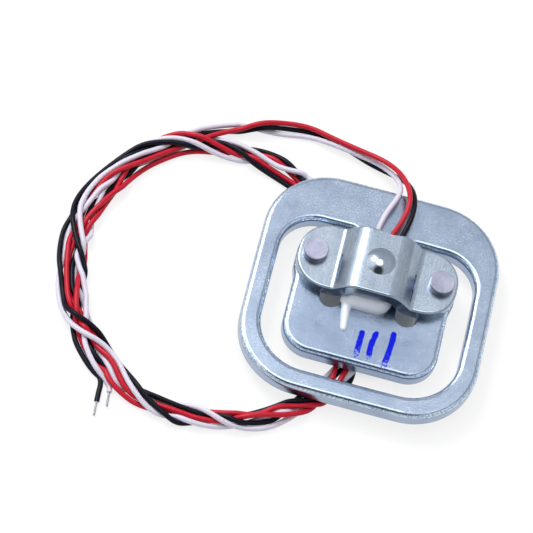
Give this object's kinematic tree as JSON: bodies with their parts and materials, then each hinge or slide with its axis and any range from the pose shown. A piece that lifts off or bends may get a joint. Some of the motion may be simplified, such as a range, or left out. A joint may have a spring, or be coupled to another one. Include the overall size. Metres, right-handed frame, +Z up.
{
  "type": "strain gauge load cell",
  "caption": "Flat half-bridge load cell: a square spring plate with a tongue, a riveted bridge bracket with a raised load button, and loosely coiled leads.",
  "frame": {"origin": "the crown of the load button, midway between the rivets", "axes": "+Z up, square to the plate, the way the load button faces; +Y towards the wide bar of the ring, where the leads come out; +X to the right seen from the front"},
  "size_m": [0.061, 0.0546, 0.009],
  "materials": {
    "plated_steel": "bright zinc plating with a faint blue passivation, matte from tumbling",
    "plated_sheet": "bright zinc plating, smoother and shinier than the plate",
    "rivet_steel": "matte zinc on a flat pressed head",
    "gauge_film": "amber film",
    "gauge_metal": "etched foil",
    "solder": "bright solder",
    "white_silicone": "translucent white silicone, glossy",
    "white_insulation": "extruded vinyl",
    "red_insulation": "extruded vinyl",
    "black_insulation": "extruded vinyl",
    "tinned_strands": "tinned stranded copper"
  },
  "bodies": {
    "root": {"spring_plate": "plated_steel", "bridge_bracket": "plated_sheet", "rivet_left": "rivet_steel", "rivet_right": "rivet_steel", "gauge_carrier": "gauge_film", "gauge_foil": "gauge_metal", "white_solder_joint": "solder", "red_solder_joint": "solder", "black_solder_joint": "solder", "sealant": "white_silicone", "white_lead": "white_insulation", "red_lead": "red_insulation", "black_lead": "black_insulation", "lead_coil": "red_insulation", "white_tail": "white_insulation", "red_tail": "red_insulation", "black_tail": "black_insulation", "white_tip": "tinned_strands", "red_tip": "tinned_strands", "black_tip": "tinned_strands"}
  },
  "joints": []
}
